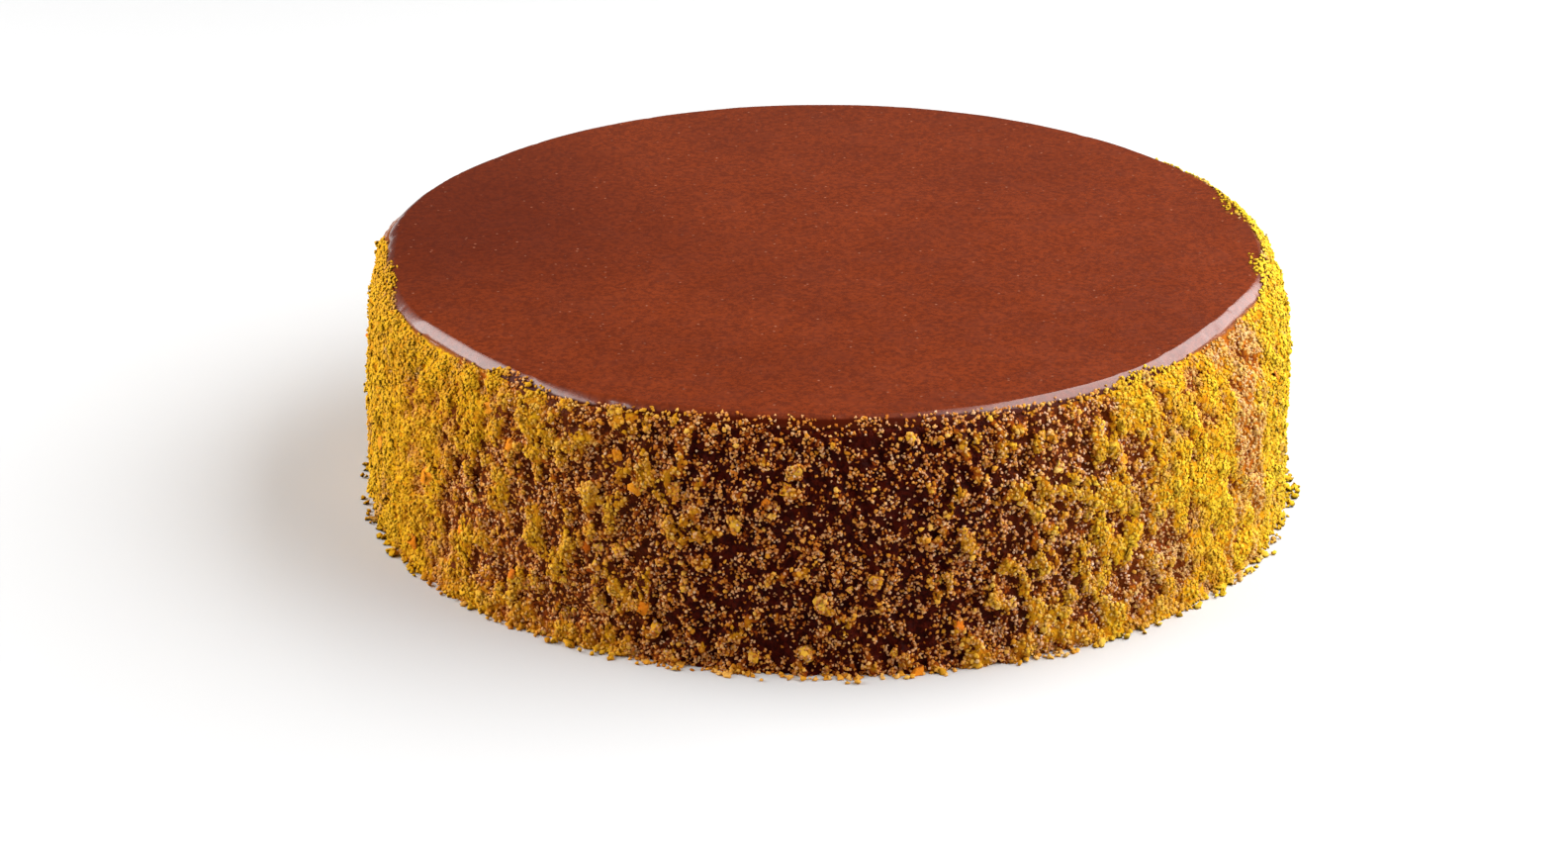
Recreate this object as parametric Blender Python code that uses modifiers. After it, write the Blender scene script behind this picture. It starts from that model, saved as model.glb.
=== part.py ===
"""Tres leches cake: a whole round cake, crumbed all round its side and glazed over its top.

Metres, +Z up. The origin is the centre of the underside, in the plane that the cake stands on.
"""

import math

import bpy
from mathutils import Vector, noise

# The whole cake
CAKE_HEIGHT = 0.067
SIDE_RADIUS = 0.1245  # out to the crumbs, half way up
GAP = 0.0003  # between the glaze and the cake under it

# The crumbed side: it leans in to the glaze at its shoulder, and crumbs gather at its foot
SHOULDER_START = 0.036  # height above which the side leans in
SHOULDER_LEAN = 0.0047  # how far in it is at its top
SHOULDER_POWER = 2.0  # 1 is a cone, more holds the side upright for longer
FOOT_HEIGHT = 0.012
FOOT_FLARE = 0.0008
SIDE_RINGS = 12
SIDE_SEGMENTS = 144

# The unevenness of the crumbs: broad swells with smaller lumps on them
SWELL_SIZE = 0.034
SWELL_DEPTH = 0.0008
LUMP_SIZE = 0.010
LUMP_DEPTH = 0.0013

# The glaze: a set layer over the whole top, with a rounded rim
GLAZE_THICKNESS = 0.0028
GLAZE_RADIUS = 0.1185  # at the widest of its rim
GLAZE_FOOT_RADIUS = 0.1183
RIM_WIDTH = 0.0027
RIM_HEIGHT = 0.0025
RIM_STEPS = 6
GLAZE_SEGMENTS = 120
RIM_WAVE_SIZE = 0.022
RIM_WAVE_DEPTH = 0.0003

SHARP_EDGE = math.radians(35)
MERGE_DISTANCE = 0.00002

CRUMB_COLOUR = (0.552, 0.262, 0.026, 1)
GLAZE_COLOUR = (0.242, 0.045, 0.019, 1)


def clear_scene():
    for thing in list(bpy.data.objects):
        bpy.data.objects.remove(thing, do_unlink=True)


def material(name, colour, roughness):
    """A Principled surface of one colour."""
    surface = bpy.data.materials.new(name)
    surface.use_nodes = True
    shader = surface.node_tree.nodes["Principled BSDF"]
    shader.inputs["Base Color"].default_value = colour
    shader.inputs["Roughness"].default_value = roughness
    shader.inputs["Metallic"].default_value = 0.0
    surface.diffuse_color = colour
    return surface


def turned(name, outline, segments):
    """A solid turned about Z from an outline of (radius, height) that runs down its outer side."""
    mesh = bpy.data.meshes.new(name + " outline")
    points = [(radius, 0, height) for radius, height in outline]
    edges = [(n, n + 1) for n in range(len(outline) - 1)]
    mesh.from_pydata(points, edges, [])
    half = bpy.data.objects.new(name + " half outline", mesh)
    bpy.context.scene.collection.objects.link(half)

    screw = half.modifiers.new("turn about the axis", "SCREW")
    screw.axis = "Z"
    screw.angle = math.tau
    screw.steps = segments
    screw.render_steps = segments
    screw.use_merge_vertices = True
    screw.merge_threshold = MERGE_DISTANCE

    solid = bpy.data.meshes.new_from_object(half.evaluated_get(bpy.context.evaluated_depsgraph_get()))
    bpy.data.objects.remove(half)
    solid.name = name
    return bpy.data.objects.new(name, solid)


def push_out(piece, distance_at):
    """Moves the piece's side in or out, square to the axis, by distance_at(point)."""
    for vertex in piece.data.vertices:
        level = Vector((vertex.co.x, vertex.co.y, 0))
        on_side = level.length > SIDE_RADIUS / 2
        if on_side:
            vertex.co += level.normalized() * distance_at(vertex.co)


def centre_on_axis(piece):
    """Puts the middle of the piece's width and depth back on the axis."""
    for axis in (0, 1):
        places = [vertex.co[axis] for vertex in piece.data.vertices]
        middle = (min(places) + max(places)) / 2
        for vertex in piece.data.vertices:
            vertex.co[axis] -= middle


def shade(piece, surface):
    """Smooth round the side, with a crisp edge where it meets a flat face."""
    piece.data.shade_smooth()
    piece.data.set_sharp_from_angle(angle=SHARP_EDGE)
    piece.data.materials.append(surface)


def crumb_unevenness(point):
    swell = SWELL_DEPTH * noise.noise(point / SWELL_SIZE)
    lump = LUMP_DEPTH * noise.noise(point / LUMP_SIZE)
    return swell + lump


def rim_waviness(point):
    return RIM_WAVE_DEPTH * noise.noise(point / RIM_WAVE_SIZE)


def crumbed_side_radius(height):
    """The mean radius of the crumbed side at a height above the underside."""
    top = CAKE_HEIGHT - GLAZE_THICKNESS - GAP
    rise = max(0.0, height - SHOULDER_START) / (top - SHOULDER_START)
    low = max(0.0, 1 - height / FOOT_HEIGHT)
    return SIDE_RADIUS - SHOULDER_LEAN * rise**SHOULDER_POWER + FOOT_FLARE * low**2


def crumbed_cake():
    """The cake itself, solid out to the uneven coat of crumbs on its side."""
    top = CAKE_HEIGHT - GLAZE_THICKNESS - GAP
    outline = [(0, top)]
    for ring in range(SIDE_RINGS + 1):
        height = top * (1 - ring / SIDE_RINGS)
        outline.append((crumbed_side_radius(height), height))
    outline.append((0, 0))

    cake = turned("crumbed_cake", outline, SIDE_SEGMENTS)
    push_out(cake, crumb_unevenness)
    centre_on_axis(cake)
    shade(cake, material("yellow sponge crumbs", CRUMB_COLOUR, 0.9))
    return cake


def caramel_glaze():
    """The glaze over the top: flat, with its rim rolled over to the side."""
    outline = [(0, GLAZE_THICKNESS)]
    for step in range(RIM_STEPS + 1):
        turn = step / RIM_STEPS * math.pi / 2
        radius = GLAZE_RADIUS - RIM_WIDTH * (1 - math.sin(turn))
        height = GLAZE_THICKNESS - RIM_HEIGHT * (1 - math.cos(turn))
        outline.append((radius, height))
    outline.append((GLAZE_FOOT_RADIUS, 0))
    outline.append((0, 0))

    glaze = turned("caramel_glaze", outline, GLAZE_SEGMENTS)
    push_out(glaze, rim_waviness)
    centre_on_axis(glaze)
    shade(glaze, material("caramel glaze", GLAZE_COLOUR, 0.3))
    glaze.location.z = CAKE_HEIGHT - GLAZE_THICKNESS
    return glaze


def build():
    clear_scene()
    pieces = bpy.data.collections.new("tres leches cake")
    bpy.context.scene.collection.children.link(pieces)

    stand_point = bpy.data.objects.new("stand point", None)
    pieces.objects.link(stand_point)
    for piece in (crumbed_cake(), caramel_glaze()):
        pieces.objects.link(piece)
        piece.parent = stand_point


build()
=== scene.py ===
"""The looks of a tres leches cake: red-brown glaze over the top and side, and sponge crumbs on the side."""

import math

import bpy
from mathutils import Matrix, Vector


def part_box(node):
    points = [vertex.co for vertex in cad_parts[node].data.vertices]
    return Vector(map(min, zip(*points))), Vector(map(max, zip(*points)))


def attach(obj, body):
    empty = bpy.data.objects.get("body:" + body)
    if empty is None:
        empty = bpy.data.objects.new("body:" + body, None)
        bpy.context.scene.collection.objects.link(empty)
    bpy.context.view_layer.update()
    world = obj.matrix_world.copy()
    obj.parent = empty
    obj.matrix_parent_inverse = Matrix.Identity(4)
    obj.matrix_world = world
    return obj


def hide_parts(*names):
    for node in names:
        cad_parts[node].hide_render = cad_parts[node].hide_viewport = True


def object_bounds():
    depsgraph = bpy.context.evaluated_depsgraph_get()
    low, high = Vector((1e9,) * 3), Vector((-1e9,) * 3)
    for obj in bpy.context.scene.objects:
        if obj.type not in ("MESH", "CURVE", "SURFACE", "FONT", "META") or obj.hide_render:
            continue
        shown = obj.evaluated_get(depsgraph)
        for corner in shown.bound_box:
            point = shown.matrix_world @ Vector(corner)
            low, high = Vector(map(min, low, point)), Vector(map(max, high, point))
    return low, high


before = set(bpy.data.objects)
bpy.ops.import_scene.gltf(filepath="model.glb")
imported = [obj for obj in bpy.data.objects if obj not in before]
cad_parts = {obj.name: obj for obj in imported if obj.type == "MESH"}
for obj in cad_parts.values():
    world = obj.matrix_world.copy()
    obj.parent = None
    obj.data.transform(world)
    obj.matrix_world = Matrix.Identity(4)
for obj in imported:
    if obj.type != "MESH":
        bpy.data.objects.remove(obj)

cad_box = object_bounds()
cake_low, cake_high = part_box("crumbed_cake")
glaze_low, glaze_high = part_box("caramel_glaze")


# ---- The side of the cake under its crumbs ----
# The sponge stands in a thin coat of dark glaze, which crumbs were pressed into while it was wet. They lie
# in upright heaps, thick at the back and flanks and thin at the front. The side is turned from an outline,
# then raised in the heaps.
CAKE_TOP = glaze_high.z
GLAZE_RADIUS = (glaze_high.x - glaze_low.x) / 2
CAKE_RADIUS = (cake_high.x - cake_low.x) / 2
CRUMB_COAT = 0.0022  # from the outermost crumbs in to the glazed side
SHOULDER_LEAN = 0.0042  # how far the side leans in at its top
SHOULDER_START = 0.52  # share of the height at which it starts to lean in
SHOULDER_POWER = 2.2
FOOT_FLARE = 0.0008
FOOT_HEIGHT = 0.010
SIDE_TOP = glaze_low.z + 0.0003
SIDE_RINGS = 84
SIDE_SEGMENTS = 1080
UNDERSIDE_RINGS = 3
MERGE_DISTANCE = 0.00001
TOP_EDGE = 0.0009  # the side's top edge is rounded in under the glaze by this much
SIDE_SHARP_EDGE = math.radians(70)
RIM_WIDTH = 0.0027  # of the glaze's rolled rim, in from its widest to the crease where the flat top begins
RIM_HEIGHT = 0.0026

# The heaps that the crumbs lie in, and the clusters that they cling together in
HEAP_SIZE = 0.0046
HEAP_DEPTH = 0.0005
LUMP_DEPTH = 0.0062  # the heaps' noise also moves the side by this much, from end to end of its range
HEAP_SPREAD = 0.15  # from the edge of a heap to its crest, in the noise's own measure
HEAP_EDGE_THICK = 0.26  # the noise above which crumbs are heaped, where they lie thick
HEAP_EDGE_THIN = 0.53  # and where they lie thin
CREST_FROM_TO = (0.36, 0.64)  # up a heap's flank to its crest
HOLLOW_FROM_TO = (0.44, 0.34)  # and down into a hollow
CLUSTER_SIZE = 0.0021  # there are gaps of bare glaze between them
CLUSTER_DEPTH = 0.0007
CLUSTER_SPREAD = 0.12
CLUSTER_EDGE_THICK = 0.31
CLUSTER_EDGE_THIN = 0.472
UPRIGHT = (1, 1, 0.72)  # the heaps are taller than wide
EDGE_FADE = 0.0035  # they rise to their whole depth over this much below the rim
RIM_MARGIN = 0.001  # and only this close to the rim's radius, or outside it
FOOT_HEAPS = 0.10  # how much readier crumbs are to heap at the foot
FOOT_TRAIL = (0.0046, 0.0010)  # out from the foot, where the last fallen crumbs lie and where the most do
LINE_HEAPS = 0.12  # how much readier they are just under their upper edge
LINE_REACH = (0.0035, 0.0010)  # below that edge
LINE_HEAPS_THIN = 1.1  # less the thinness: hardly at all where they lie thin

# Broad patches with more or fewer crumbs, and how beige the crumbs are
PATCH_SIZE = 0.012
PATCH_REACH = 0.38  # how much of this noise is added to the heaps' own
PATCH_ON_CLUSTERS = 0.3  # and how much of that again to each of these
PATCH_ON_CRESTS = 2.0
PATCH_ON_BEIGE = -2.0
PATCH_ON_SAND = -7.0
BEIGE_FROM_TO = (0.1, 0.8)  # the thinness over which they turn from yellow to beige
BEIGE_LOST_ON_HEAPS = 0.65
BEIGE_IN_HOLLOWS_AS_SHADE = 0.5
SANDY_FROM_TO = (0.3, 0.8)  # the sandiness over which they turn too
BEIGE_WHERE_SANDY = 0.45

# How thinly the crumbs lie, by bearing round the cake: 0 is the front, 90 the right
THINNESS = (
    (-180, 0.0), (-74, 0.05), (-60, 0.37), (-44, 0.56), (-24, 0.69), (0, 1.0), (22, 0.72), (36, 0.52),
    (48, 0.36), (54, 0.28), (60, 0.36), (66, 0.24), (73, 0.08), (180, 0.0),
)
# How much thicker they lie near the top, by bearing
THICKER_UP = (
    (-180, 0.0), (-72, 0.0), (-62, 0.28), (-51, 0.38), (-45, 0.25), (-38, 0.0), (180, 0.0),
)
UP_FROM_TO = (0.022, 0.008)  # below the top
# Where they are dull and sandy, by bearing
SANDINESS = (
    (-180, 0.10), (-78, 0.10), (-70, 0.35), (-62, 0.12), (48, 0.08), (56, 0.45), (61, 0.62),
    (67, 0.50), (76, 0.14), (180, 0.10),
)

# How far below the top the crumbs end, in millimetres, by bearing; less than nothing is over the rim
CRUMB_LINE = (
    (-180, 2.6), (-150, 4.0), (-122, 6.2), (-104, 6.0), (-98, 3.8), (-92, 2.4), (-86, 1.0),
    (-82, -0.8), (-77, -0.8), (-74, 0.8), (-68, 2.0), (-60, 3.2), (-48, 2.8), (-43, -0.5),
    (-38, 0.8), (-31, 1.2), (-18, 0.2), (0, -0.3), (16, 0.0), (30, 0.9), (38, 0.9), (42, -0.5),
    (46, 1.4), (58, 2.9), (68, 3.0), (76, 1.4), (79, -0.4), (82, -1.4), (87, -1.3), (91, 0.2),
    (95, -0.2), (99, -0.8), (104, -1.4), (109, -1.3), (114, -0.4), (124, -0.1), (130, 1.8), (180, 2.6),
)
RIM_COUNTS = 0.3  # the way out over the rim counts as this much of its length in depth
RAGGED_SIZE = 0.0026
RAGGED_DEPTH = 0.0012
# How far the rim and shoulder stand out from the round, in millimetres, by bearing
FULLNESS = (
    (-180, 0.4), (-150, 0.9), (-125, 1.8), (-114, 2.8), (-103, 3.2), (-96, 2.2), (-88, 0.9), (-79, 1.2),
    (-71, 1.7), (-62, 1.0), (-55, 0.0), (-49, 0.2), (-44, 0.7), (-36, 1.6), (-28, 0.6), (-9, -1.0),
    (10, -0.9), (34, -1.2), (42, -1.3), (51, -2.6), (60, -3.1), (68, -2.6), (75, -0.9), (84, 0.1),
    (96, 0.3), (106, 1.2), (116, 1.2), (130, 0.5), (180, 0.4),
)
FULL_TO = 0.004  # it is whole down to this far below the top
FULL_DEPTH = 0.022  # and gone this far down
FULL_ON_TOP = 0.006  # on the flat top it fades out over this much
MILLIMETRE = 0.001

# The finish of the glaze and of the crumbs bedded in it
# The side's glaze is coloured far darker than the same glaze on the top: partly its own colour, partly
# painted shade among the crumbs
SIDE_GLAZE_AND_SHADE = (0.040, 0.0028, 0.0008, 1)
SIDE_GLAZE_AND_SHADE_DARK = (0.010, 0.0009, 0.0004, 1)
BEDDED_CRUMBS = (0.80, 0.42, 0.010, 1)
BEDDED_CRUMBS_DULL = (0.64, 0.26, 0.006, 1)
SOAKED_CRUMBS = (0.30, 0.055, 0.004, 1)  # a thin bed of crumbs takes up the glaze
SIDE_SOAK = (0.078, 0.0060, 0.0010, 1)  # crumb dust soaked with glaze, in the gaps
THICK_GAPS = (0.20, 0.040, 0.004, 1)  # where the crumbs lie thick their gaps are shallow and dusty
GAPS_FROM_TO = (0.90, 0.15)  # the thinness over which the gaps turn so
SIDE_ROUGHNESS = (0.38, 0.7)
SIDE_GLOSS = 0.03  # the set glaze is dulled by crumb dust
NOISE_MIDDLE = (0.35, 0.65)  # the part of a noise's range over which one finish gives way to another
CLOUD_SIZE = 0.012
DUST_SIZE = 0.0016
DUST_FROM_TO = (0.42, 0.62)
DUST_SHARE = 0.6
BEDDED_PATCH_SIZE = 0.0025
GRAIN_SIZE = 0.0009
GRAIN_DEPTH = 0.0006
GRAIN_REACH = 1.6
SOAKED_FROM_TO = (0.50, 0.36)
SOAKED_SHARE = 0.6
THIN_FROM_TO = (0.05, 0.6)  # how beige a place is, over which its crumbs turn from packed to thin
BED_OFF_CLUSTERS = 0.25  # how much of a heap's bed of crumbs is left between its clusters
BED_OFF_HEAPS = 0.42  # and of a cluster's between the heaps
BARE_GLAZE = (0.27, 0.066, 0.009, 1)  # above the crumbs it is clean, and thinner than on the top
BARE_ROUGHNESS = 0.26
BARE_GLOSS = 0.5
BARE_FROM_TO = (0.0002, -0.0004)  # below the line


def add_node(tree, kind, inputs=None, **settings):
    """A node with its settings, and its inputs linked where a socket is given or else set."""
    node = tree.nodes.new(kind)
    for name, value in settings.items():
        setattr(node, name, value)
    for name, value in (inputs or {}).items():
        if isinstance(value, bpy.types.NodeSocket):
            tree.links.new(value, node.inputs[name])
        else:
            node.inputs[name].default_value = value
    return node


def maths(tree, operation, a, b=0.0):
    """The result of one sum on two numbers or sockets."""
    return add_node(tree, "ShaderNodeMath", {0: a, 1: b}, operation=operation).outputs[0]


def total(tree, first, *others):
    """The sum of several numbers or sockets."""
    for other in others:
        first = maths(tree, "ADD", first, other)
    return first


def product(tree, first, *others):
    """Several numbers or sockets multiplied together."""
    for other in others:
        first = maths(tree, "MULTIPLY", first, other)
    return first


def less(tree, a, b):
    """The number a less b."""
    return maths(tree, "SUBTRACT", a, b)


def vector_maths(tree, operation, a, b=None, scale=None):
    """The result of one sum on vectors: a length or a dot product is a number, the rest are vectors."""
    inputs = {0: a}
    if b is not None:
        inputs[1] = b
    if scale is not None:
        inputs["Scale"] = scale
    node = add_node(tree, "ShaderNodeVectorMath", inputs, operation=operation)
    return node.outputs["Value" if operation in ("LENGTH", "DOT_PRODUCT") else "Vector"]


def stretched(tree, value, low, high, to_low=0.0, to_high=1.0):
    """The value taken smoothly from one range to another."""
    inputs = {"Value": value, "From Min": low, "From Max": high, "To Min": to_low, "To Max": to_high}
    return add_node(tree, "ShaderNodeMapRange", inputs, interpolation_type="SMOOTHSTEP").outputs[0]


def blended(tree, share, a, b):
    """The number a where the share is 0, and b where it is 1."""
    return add_node(tree, "ShaderNodeMix", {0: share, 2: a, 3: b}, data_type="FLOAT").outputs[0]


def noise(tree, places, size, detail=1.0, roughness=0.5, seed=0.0):
    """Noise with features of about that size in metres, as its value from 0 to 1."""
    scale = maths(tree, "DIVIDE", 1.0, size)
    inputs = {"Vector": places, "W": seed, "Scale": scale, "Detail": detail, "Roughness": roughness}
    return add_node(tree, "ShaderNodeTexNoise", inputs, noise_dimensions="4D").outputs[0]


def swung(tree, value, reach):
    """Noise as a swing of up to half the reach either way."""
    return product(tree, less(tree, value, 0.5), reach)


def about_axis(tree):
    """A point's position, the level way out to it from the cake's axis, its radius and its height."""
    position = add_node(tree, "GeometryNodeInputPosition").outputs[0]
    parts = add_node(tree, "ShaderNodeSeparateXYZ", {0: position})
    level = add_node(tree, "ShaderNodeCombineXYZ", {0: parts.outputs[0], 1: parts.outputs[1]}).outputs[0]
    outwards = vector_maths(tree, "NORMALIZE", level)
    return position, outwards, vector_maths(tree, "LENGTH", level), parts.outputs[2]


def by_bearing(tree, outwards, stations):
    """The value at a bearing round the cake, read off a curve through (bearing, value) stations."""
    parts = add_node(tree, "ShaderNodeSeparateXYZ", {0: outwards})
    frontwards = product(tree, parts.outputs[1], -1.0)
    turn = maths(tree, "ARCTAN2", parts.outputs[0], frontwards)
    share = total(tree, maths(tree, "DIVIDE", turn, math.tau), 0.5)
    lowest = min(value for _, value in stations)
    reach = max(value for _, value in stations) - lowest
    curve = add_node(tree, "ShaderNodeFloatCurve", {"Value": share})
    points = curve.mapping.curves[0].points
    for bearing, value in stations[1:-1]:
        points.new(bearing / 360 + 0.5, (value - lowest) / reach)
    points[0].location = (0, (stations[0][1] - lowest) / reach)
    points[-1].location = (1, (stations[-1][1] - lowest) / reach)
    curve.mapping.update()
    return total(tree, product(tree, curve.outputs[0], reach), lowest)


def geometry_tree(name, sizes, others=None):
    """An empty Geometry Nodes tree that takes and gives a mesh, with named inputs."""
    tree = bpy.data.node_groups.new(name, "GeometryNodeTree")
    tree.interface.new_socket("Geometry", in_out="INPUT", socket_type="NodeSocketGeometry")
    tree.interface.new_socket("Geometry", in_out="OUTPUT", socket_type="NodeSocketGeometry")
    kinds = {size: "Float" for size in sizes} | (others or {})
    for label, kind in kinds.items():
        tree.interface.new_socket(label, in_out="INPUT", socket_type="NodeSocket" + kind)
    return tree, tree.nodes.new("NodeGroupInput").outputs, tree.nodes.new("NodeGroupOutput").inputs


def written(tree, mesh, name, value, domain="POINT", kind="FLOAT"):
    """The mesh with a value stored on it under that name."""
    inputs = {"Geometry": mesh, "Name": name, "Value": value}
    return add_node(
        tree, "GeometryNodeStoreNamedAttribute", inputs, data_type=kind, domain=domain
    ).outputs[0]


def run_tree(piece, tree, values):
    """Puts the tree on the piece with these inputs, and leaves the piece a plain mesh."""
    modifier = piece.modifiers.new(tree.name, "NODES")
    modifier.node_group = tree
    for socket in tree.interface.items_tree:
        if socket.in_out == "INPUT" and socket.name in values:
            modifier[socket.identifier] = values[socket.name]
    return made_plain(piece)


def made_plain(piece):
    """Works the piece's modifiers into its mesh and removes them."""
    depsgraph = bpy.context.evaluated_depsgraph_get()
    mesh = bpy.data.meshes.new_from_object(
        piece.evaluated_get(depsgraph), preserve_all_data_layers=True, depsgraph=depsgraph
    )
    piece.modifiers.clear()
    piece.data = mesh
    mesh.name = piece.name
    return piece


def turned(name, outline, segments):
    """A mesh turned about the cake's axis from (radius, height) points, top to bottom."""
    mesh = bpy.data.meshes.new(name)
    points = [(radius, 0, height) for radius, height in outline]
    mesh.from_pydata(points, [(n, n + 1) for n in range(len(points) - 1)], [])
    piece = bpy.data.objects.new(name, mesh)
    bpy.context.scene.collection.objects.link(piece)
    screw = piece.modifiers.new("turn", "SCREW")
    screw.steps = segments
    screw.render_steps = segments
    screw.use_merge_vertices = True
    screw.merge_threshold = MERGE_DISTANCE
    return made_plain(piece)


def side_radius(height):
    """The mean radius of the glazed side at a height above the underside."""
    lean = max(0.0, height / SIDE_TOP - SHOULDER_START) / (1 - SHOULDER_START)
    low = max(0.0, 1 - height / FOOT_HEIGHT)
    return CAKE_RADIUS - CRUMB_COAT - SHOULDER_LEAN * lean**SHOULDER_POWER + FOOT_FLARE * low**2


def side_outline():
    """The side from its rounded top edge down to the foot."""
    heights = [SIDE_TOP * (1 - ring / SIDE_RINGS) for ring in range(SIDE_RINGS + 1)]
    edge = (side_radius(SIDE_TOP) - TOP_EDGE, SIDE_TOP)
    return [edge] + [(side_radius(height), height) for height in heights[1:]]


def crumbed_ground_tree():
    """Raises the heaps and clusters, and writes what the crumbs and the materials read at each place.

    'heap', 'cluster' and 'crest' say where it is raised, 'thinness' and 'beige' how the crumbs lie and look
    there, and 'below' how far it is under the line where they end.
    """
    tree, given, result = geometry_tree("crumbed ground", (
        "Patch Size", "Heap Size", "Heap Depth", "Heap Spread", "Lump Depth", "Cluster Size",
        "Cluster Depth", "Cluster Spread", "Ragged Size", "Ragged Depth", "Top", "Full Depth", "Edge Fade",
        "Foot Height", "Foot Radius", "Rim Radius",
    ))
    position, outwards, radius, height = about_axis(tree)
    upright = vector_maths(tree, "MULTIPLY", position, UPRIGHT)
    depth = less(tree, given["Top"], height)
    line = product(tree, by_bearing(tree, outwards, CRUMB_LINE), MILLIMETRE)
    thicker_up = product(tree, by_bearing(tree, outwards, THICKER_UP), stretched(tree, depth, *UP_FROM_TO))
    thinness = less(tree, by_bearing(tree, outwards, THINNESS), thicker_up)

    # Where crumbs are ready to heap: by the noise, in patches, at the foot and along the line
    patches = noise(tree, upright, given["Patch Size"], seed=1.7)
    patchy = swung(tree, patches, PATCH_REACH)
    heaps = noise(tree, upright, given["Heap Size"], detail=2.0, roughness=0.55, seed=4.1)
    at_foot = stretched(tree, height, given["Foot Height"], 0.0, 0.0, FOOT_HEAPS)
    at_line = stretched(tree, less(tree, depth, line), *LINE_REACH)
    at_line = product(tree, at_line, less(tree, LINE_HEAPS_THIN, thinness))
    gathered = total(tree, at_foot, product(tree, at_line, LINE_HEAPS))
    heap_edge = blended(tree, thinness, HEAP_EDGE_THICK, HEAP_EDGE_THIN)
    heap_crest = total(tree, heap_edge, given["Heap Spread"])
    heap = stretched(tree, total(tree, heaps, patchy, gathered), heap_edge, heap_crest)
    crest = stretched(tree, total(tree, heaps, product(tree, patchy, PATCH_ON_CRESTS)), *CREST_FROM_TO)

    clusters = noise(tree, upright, given["Cluster Size"], detail=2.0, roughness=0.6, seed=8.3)
    clustered = total(tree, clusters, product(tree, patchy, PATCH_ON_CLUSTERS), gathered)
    cluster_edge = blended(tree, thinness, CLUSTER_EDGE_THICK, CLUSTER_EDGE_THIN)
    cluster_crest = total(tree, cluster_edge, given["Cluster Spread"])
    past_foot = less(tree, radius, given["Foot Radius"])
    cluster = stretched(tree, clustered, cluster_edge, cluster_crest)
    cluster = product(tree, cluster, stretched(tree, past_foot, *FOOT_TRAIL))

    # How beige they are: where they lie thin, in the hollows, which darkens them there as painted shade, and
    # where they are sandy
    thin_in_patches = total(tree, thinness, product(tree, patchy, PATCH_ON_BEIGE))
    off_heaps = less(tree, 1.0, product(tree, heap, BEIGE_LOST_ON_HEAPS))
    thin_beige = product(tree, stretched(tree, thin_in_patches, *BEIGE_FROM_TO), off_heaps)
    hollow_shade_beige = stretched(tree, heaps, *HOLLOW_FROM_TO, 0.0, BEIGE_IN_HOLLOWS_AS_SHADE)
    sandy = total(tree, by_bearing(tree, outwards, SANDINESS), product(tree, patchy, PATCH_ON_SAND))
    sandy_beige = stretched(tree, sandy, *SANDY_FROM_TO, 0.0, BEIGE_WHERE_SANDY)
    beige = maths(tree, "MAXIMUM", maths(tree, "MAXIMUM", thin_beige, hollow_shade_beige), sandy_beige)

    # The rim narrows the depth, so that it grows all the way from the crease over the rim and down
    inside = less(tree, maths(tree, "MINIMUM", radius, given["Rim Radius"]), given["Rim Radius"])
    along = total(tree, depth, product(tree, inside, RIM_COUNTS))
    raggedness = noise(tree, position, given["Ragged Size"], detail=1.0, seed=2.9)
    ragged = swung(tree, raggedness, given["Ragged Depth"])
    below = less(tree, less(tree, along, line), ragged)

    mesh = given["Geometry"]
    for name, value in (
        ("heap", heap), ("cluster", cluster), ("below", below), ("beige", beige), ("crest", crest),
        ("thinness", thinness),
    ):
        mesh = written(tree, mesh, name, value)

    # The heaps and lumps stand out from the side, and the fullness moves the rim and the side together
    fade = stretched(tree, less(tree, depth, RIM_HEIGHT), 0.0, given["Edge Fade"])
    on_side = maths(tree, "GREATER_THAN", radius, less(tree, given["Rim Radius"], RIM_MARGIN))
    heap_rise = product(tree, heap, given["Heap Depth"])
    cluster_rise = product(tree, cluster, given["Cluster Depth"])
    rise = total(tree, heap_rise, cluster_rise, swung(tree, heaps, given["Lump Depth"]))
    rise = product(tree, rise, fade, on_side)
    crease = less(tree, given["Rim Radius"], RIM_WIDTH)
    past_crease = stretched(tree, radius, less(tree, crease, FULL_ON_TOP), crease)
    full = product(tree, by_bearing(tree, outwards, FULLNESS), MILLIMETRE)
    full = product(tree, full, stretched(tree, depth, given["Full Depth"], FULL_TO), past_crease)
    offset = vector_maths(tree, "SCALE", outwards, scale=total(tree, rise, full))
    moved = add_node(tree, "GeometryNodeSetPosition", {"Geometry": mesh, "Offset": offset})
    tree.links.new(moved.outputs[0], result[0])
    return tree


ground_tree = crumbed_ground_tree()


def crumb_ground(piece):
    """Raises the piece in crumb heaps, and writes the crumbs' measures on it."""
    return run_tree(piece, ground_tree, {
        "Patch Size": PATCH_SIZE, "Heap Size": HEAP_SIZE, "Heap Depth": HEAP_DEPTH,
        "Heap Spread": HEAP_SPREAD, "Lump Depth": LUMP_DEPTH, "Cluster Size": CLUSTER_SIZE,
        "Cluster Depth": CLUSTER_DEPTH, "Cluster Spread": CLUSTER_SPREAD, "Ragged Size": RAGGED_SIZE,
        "Ragged Depth": RAGGED_DEPTH, "Top": CAKE_TOP, "Full Depth": FULL_DEPTH, "Edge Fade": EDGE_FADE,
        "Foot Height": FOOT_HEIGHT, "Foot Radius": side_radius(0), "Rim Radius": GLAZE_RADIUS,
    })


def new_material(name, colour=(0.5, 0.5, 0.5, 1), roughness=0.5):
    """A material with its node tree and its shader."""
    material = bpy.data.materials.new(name)
    material.use_nodes = True
    shader = material.node_tree.nodes["Principled BSDF"]
    shader.inputs["Base Color"].default_value = colour
    shader.inputs["Roughness"].default_value = roughness
    return material, material.node_tree, shader


def own_places(tree):
    """The piece's Object coordinates."""
    return tree.nodes.new("ShaderNodeTexCoord").outputs["Object"]


def stored(tree, name):
    """A number that was written to the piece's mesh."""
    return add_node(tree, "ShaderNodeAttribute", attribute_name=name).outputs["Fac"]


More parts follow.
